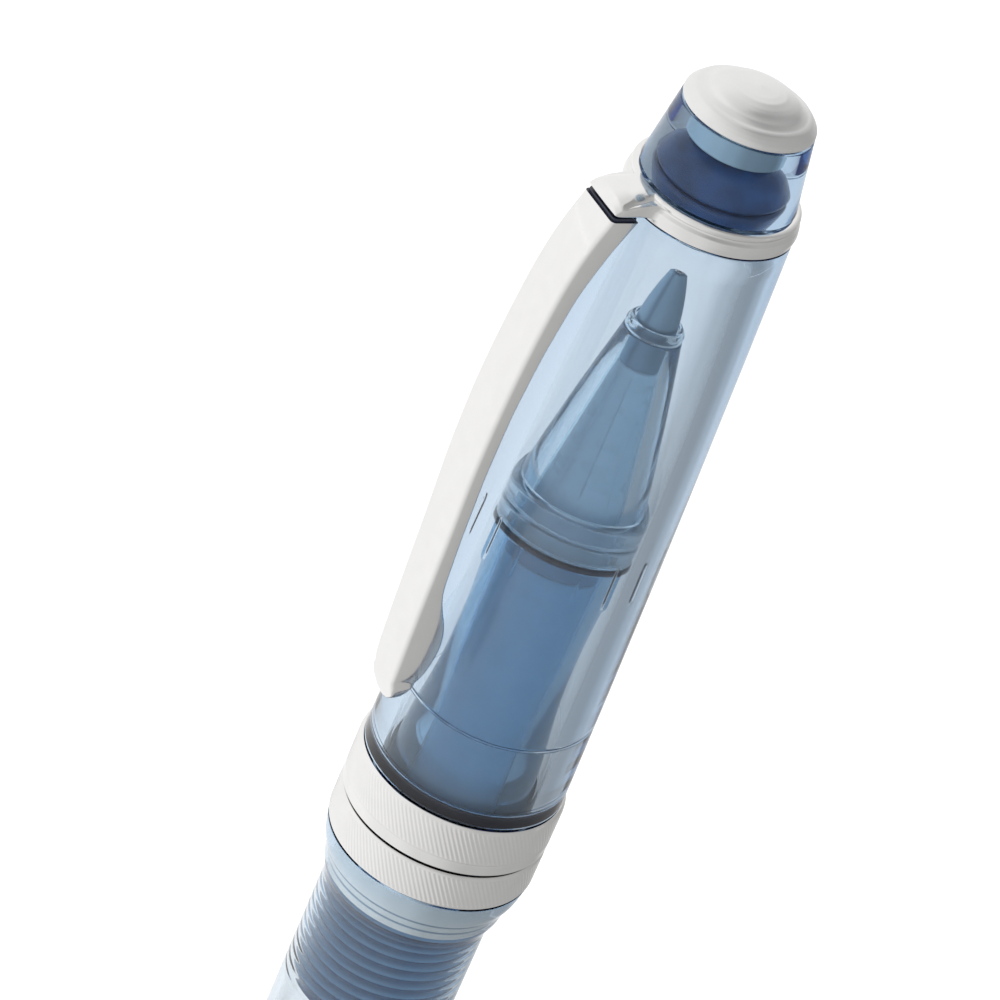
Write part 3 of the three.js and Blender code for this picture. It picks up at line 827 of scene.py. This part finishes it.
def make_clip_ring():
    """The ring round the cap's top, swept out in front into the shoulder that the arm hangs from."""
    low, high = (corner.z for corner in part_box("clip_ring"))
    front = [v.co for v in frame["nodes"]["clip_ring"].data.vertices if -v.co.y > 6 * MM]
    ledge = min(v.z for v in front)
    half = max(abs(v.x) for v in front)
    heights = ring_heights(low, ledge, high)
    offsets = ring_offsets()
    off = np.abs(offsets)[:, None]
    ring = ring_side(heights, low, high)[None, :]
    shoulder = shoulder_reach(heights, off, ledge, half, high)
    radius = joined_smoothly(ring + 0 * off, shoulder, SHOULDER_FILLETS[1])
    vertices = []
    for angle, side in zip(offsets - math.pi / 2, radius):
        column = [(RING_BORE, low), *zip(side, heights), (RING_BORE, high)]
        vertices += [(r * math.cos(angle), r * math.sin(angle), z) for r, z in column]
    rows = len(heights) + 2
    faces = []
    for j in range(len(offsets)):
        n = (j + 1) % len(offsets)
        for i in range(rows):
            k = (i + 1) % rows
            faces.append([j * rows + i, n * rows + i, n * rows + k, j * rows + k])
    piece = add_mesh("clip_ring_form", vertices, faces, PLATING)
    piece.data.set_sharp_from_angle(angle=math.radians(55))
    stand_for(piece, "clip_ring")


# ---------------------------------------------------------------- set, light and camera

FLOOR_HALF = 3.0
SHEET_HALF = 2.5
SHEET_HEIGHT = 0.2 * MM


def level_square(name, half, height, finish):
    corners = [(-half, -half, height), (half, -half, height), (half, half, height), (-half, half, height)]
    return add_mesh(name, corners, [[0, 1, 2, 3]], finish)


def make_floor():
    made, shader, _ = new_material("floor_mat")
    tree = made.node_tree
    paper = noise(tree, 40, 3)
    tree.links.new(mixed(tree, paper, (0.93, 0.93, 0.93), (0.95, 0.95, 0.95)), shader.inputs["Base Color"])
    shader.inputs["Roughness"].default_value = 0.9
    level_square("floor", FLOOR_HALF, 0, made)


# How bright the studio is round the pen, in degrees from the camera's side, going to its right.
ROUND_LIGHT = [
    (-180, 1.0), (-90, 1.06), (-40, 0.94), (0, 0.77), (50, 0.52),
    (105, 0.46), (138, 0.42), (158, 0.6), (174, 0.97), (180, 1.0),
]
OVERHEAD_FROM = 0.7  # the upward part of a direction from which it starts to dim
OVERHEAD_LIGHT = 0.76  # straight up
SOFT_LIGHT = 1.4  # what the camera and everything matt see


def round_light(tree, direction):
    """Brightness by the compass direction, a little less straight overhead."""
    parts = tree.nodes.new("ShaderNodeSeparateXYZ")
    swing = tree.nodes.new("ShaderNodeVectorRotate")
    swing.rotation_type = "Z_AXIS"
    swing.inputs["Angle"].default_value = math.radians(90 - CAMERA_SIDE)
    tree.links.new(direction, swing.inputs["Vector"])
    tree.links.new(swing.outputs["Vector"], parts.inputs["Vector"])
    compass = tree.nodes.new("ShaderNodeMath")
    compass.operation = "ARCTAN2"
    tree.links.new(parts.outputs["Y"], compass.inputs[0])
    tree.links.new(parts.outputs["X"], compass.inputs[1])
    share = tree.nodes.new("ShaderNodeMapRange")
    share.inputs["From Min"].default_value = -math.pi
    share.inputs["From Max"].default_value = math.pi
    tree.links.new(compass.outputs["Value"], share.inputs["Value"])
    ramp = tree.nodes.new("ShaderNodeValToRGB")
    ramp.color_ramp.interpolation = "EASE"
    stops = ramp.color_ramp.elements
    for i, (degrees, bright) in enumerate(ROUND_LIGHT):
        place = (degrees + 180) / 360
        stop = stops[i] if i < 1 else stops.new(place) if i < len(ROUND_LIGHT) - 1 else stops[-1]
        stop.position = place
        stop.color = (bright, bright, bright, 1)
    tree.links.new(share.outputs["Result"], ramp.inputs["Fac"])
    overhead = tree.nodes.new("ShaderNodeMapRange")
    overhead.interpolation_type = "SMOOTHSTEP"
    overhead.inputs["From Min"].default_value = OVERHEAD_FROM
    overhead.inputs["To Min"].default_value = 1
    overhead.inputs["To Max"].default_value = OVERHEAD_LIGHT
    tree.links.new(parts.outputs["Z"], overhead.inputs["Value"])
    graded = tree.nodes.new("ShaderNodeVectorMath")
    graded.operation = "SCALE"
    tree.links.new(ramp.outputs["Color"], graded.inputs[0])
    tree.links.new(overhead.outputs["Result"], graded.inputs["Scale"])
    return graded.outputs["Vector"]


def studio_light(tree, direction):
    """The graded light for reflections and refractions, and one even light for the camera and
    for matt surfaces."""
    path = tree.nodes.new("ShaderNodeLightPath")
    matt = tree.nodes.new("ShaderNodeMath")
    matt.operation = "GREATER_THAN"
    matt.inputs[1].default_value = 0.5
    tree.links.new(path.outputs["Diffuse Depth"], matt.inputs[0])
    even = tree.nodes.new("ShaderNodeMath")
    even.operation = "MAXIMUM"
    tree.links.new(path.outputs["Is Camera Ray"], even.inputs[0])
    tree.links.new(matt.outputs["Value"], even.inputs[1])
    mix = tree.nodes.new("ShaderNodeMix")
    mix.data_type = "RGBA"
    mix.clamp_result = False
    tree.links.new(even.outputs["Value"], mix.inputs[MIX_FACTOR])
    tree.links.new(round_light(tree, direction), mix.inputs[MIX_FIRST])
    mix.inputs[MIX_SECOND].default_value = (SOFT_LIGHT, SOFT_LIGHT, SOFT_LIGHT, 1)
    return mix.outputs[MIX_RESULT]


def make_world():
    """A white studio tent: plain to the camera, graded round the pen for its reflections."""
    world = bpy.data.worlds.new("tent")
    world.use_nodes = True
    bpy.context.scene.world = world
    tree = world.node_tree
    place = tree.nodes.new("ShaderNodeTexCoord")
    back = tree.nodes["Background"]
    tree.links.new(studio_light(tree, place.outputs["Generated"]), back.inputs["Color"])


def make_bounce_sheet():
    """A graded sheet on the floor that only reflections and refractions see."""
    made = bpy.data.materials.new("bounce_sheet_mat")
    made.use_nodes = True
    tree = made.node_tree
    tree.nodes.clear()
    glow = tree.nodes.new("ShaderNodeEmission")
    output = tree.nodes.new("ShaderNodeOutputMaterial")
    place = tree.nodes.new("ShaderNodeTexCoord")
    tree.links.new(studio_light(tree, place.outputs["Object"]), glow.inputs["Color"])
    tree.links.new(glow.outputs["Emission"], output.inputs["Surface"])
    sheet = level_square("bounce_sheet", SHEET_HALF, SHEET_HEIGHT, made)
    sheet.visible_camera = False
    sheet.visible_diffuse = False
    sheet.visible_shadow = False


def swung(first, second, angle):
    """The two directions, turned by angle from the first towards the second."""
    cos, sin = math.cos(angle), math.sin(angle)
    return first * cos + second * sin, second * cos - first * sin


def make_camera():
    side, down, roll = (math.radians(a) for a in (CAMERA_SIDE, CAMERA_DOWN, CAMERA_ROLL))
    level = Vector((math.sin(side), -math.cos(side), 0))
    back = level * math.cos(down) + Vector((0, 0, math.sin(down)))
    right = Vector((math.cos(side), math.sin(side), 0))
    place = Vector((0, 0, CAMERA_AIM_Z)) + back * CAMERA_AWAY
    back, right = swung(back, right, math.atan(AXIS_RIGHT / LENS))
    right, up = swung(right, back.cross(right), roll)
    data = bpy.data.cameras.new("camera")
    data.angle = 2 * math.atan(FILM / 2 / LENS)
    data.clip_start = 0.01
    camera = bpy.data.objects.new("camera", data)
    camera.matrix_world = Matrix((
        (right.x, up.x, back.x, place.x),
        (right.y, up.y, back.y, place.y),
        (right.z, up.z, back.z, place.z),
        (0, 0, 0, 1),
    ))
    bpy.context.scene.collection.objects.link(camera)
    bpy.context.scene.camera = camera


def set_light_paths():
    scene = bpy.context.scene
    scene.view_settings.view_transform = "Standard"
    scene.cycles.max_bounces = 32
    scene.cycles.transmission_bounces = 32
    scene.cycles.glossy_bounces = 16
    scene.cycles.transparent_max_bounces = 16


make_camera()
make_barrel()
make_spring()
make_refill()
make_section()
make_cap()
make_finial()
make_clip_ring()
make_clip_arm()
make_floor()
make_bounce_sheet()
make_world()
set_light_paths()

bpy.context.view_layer.update()
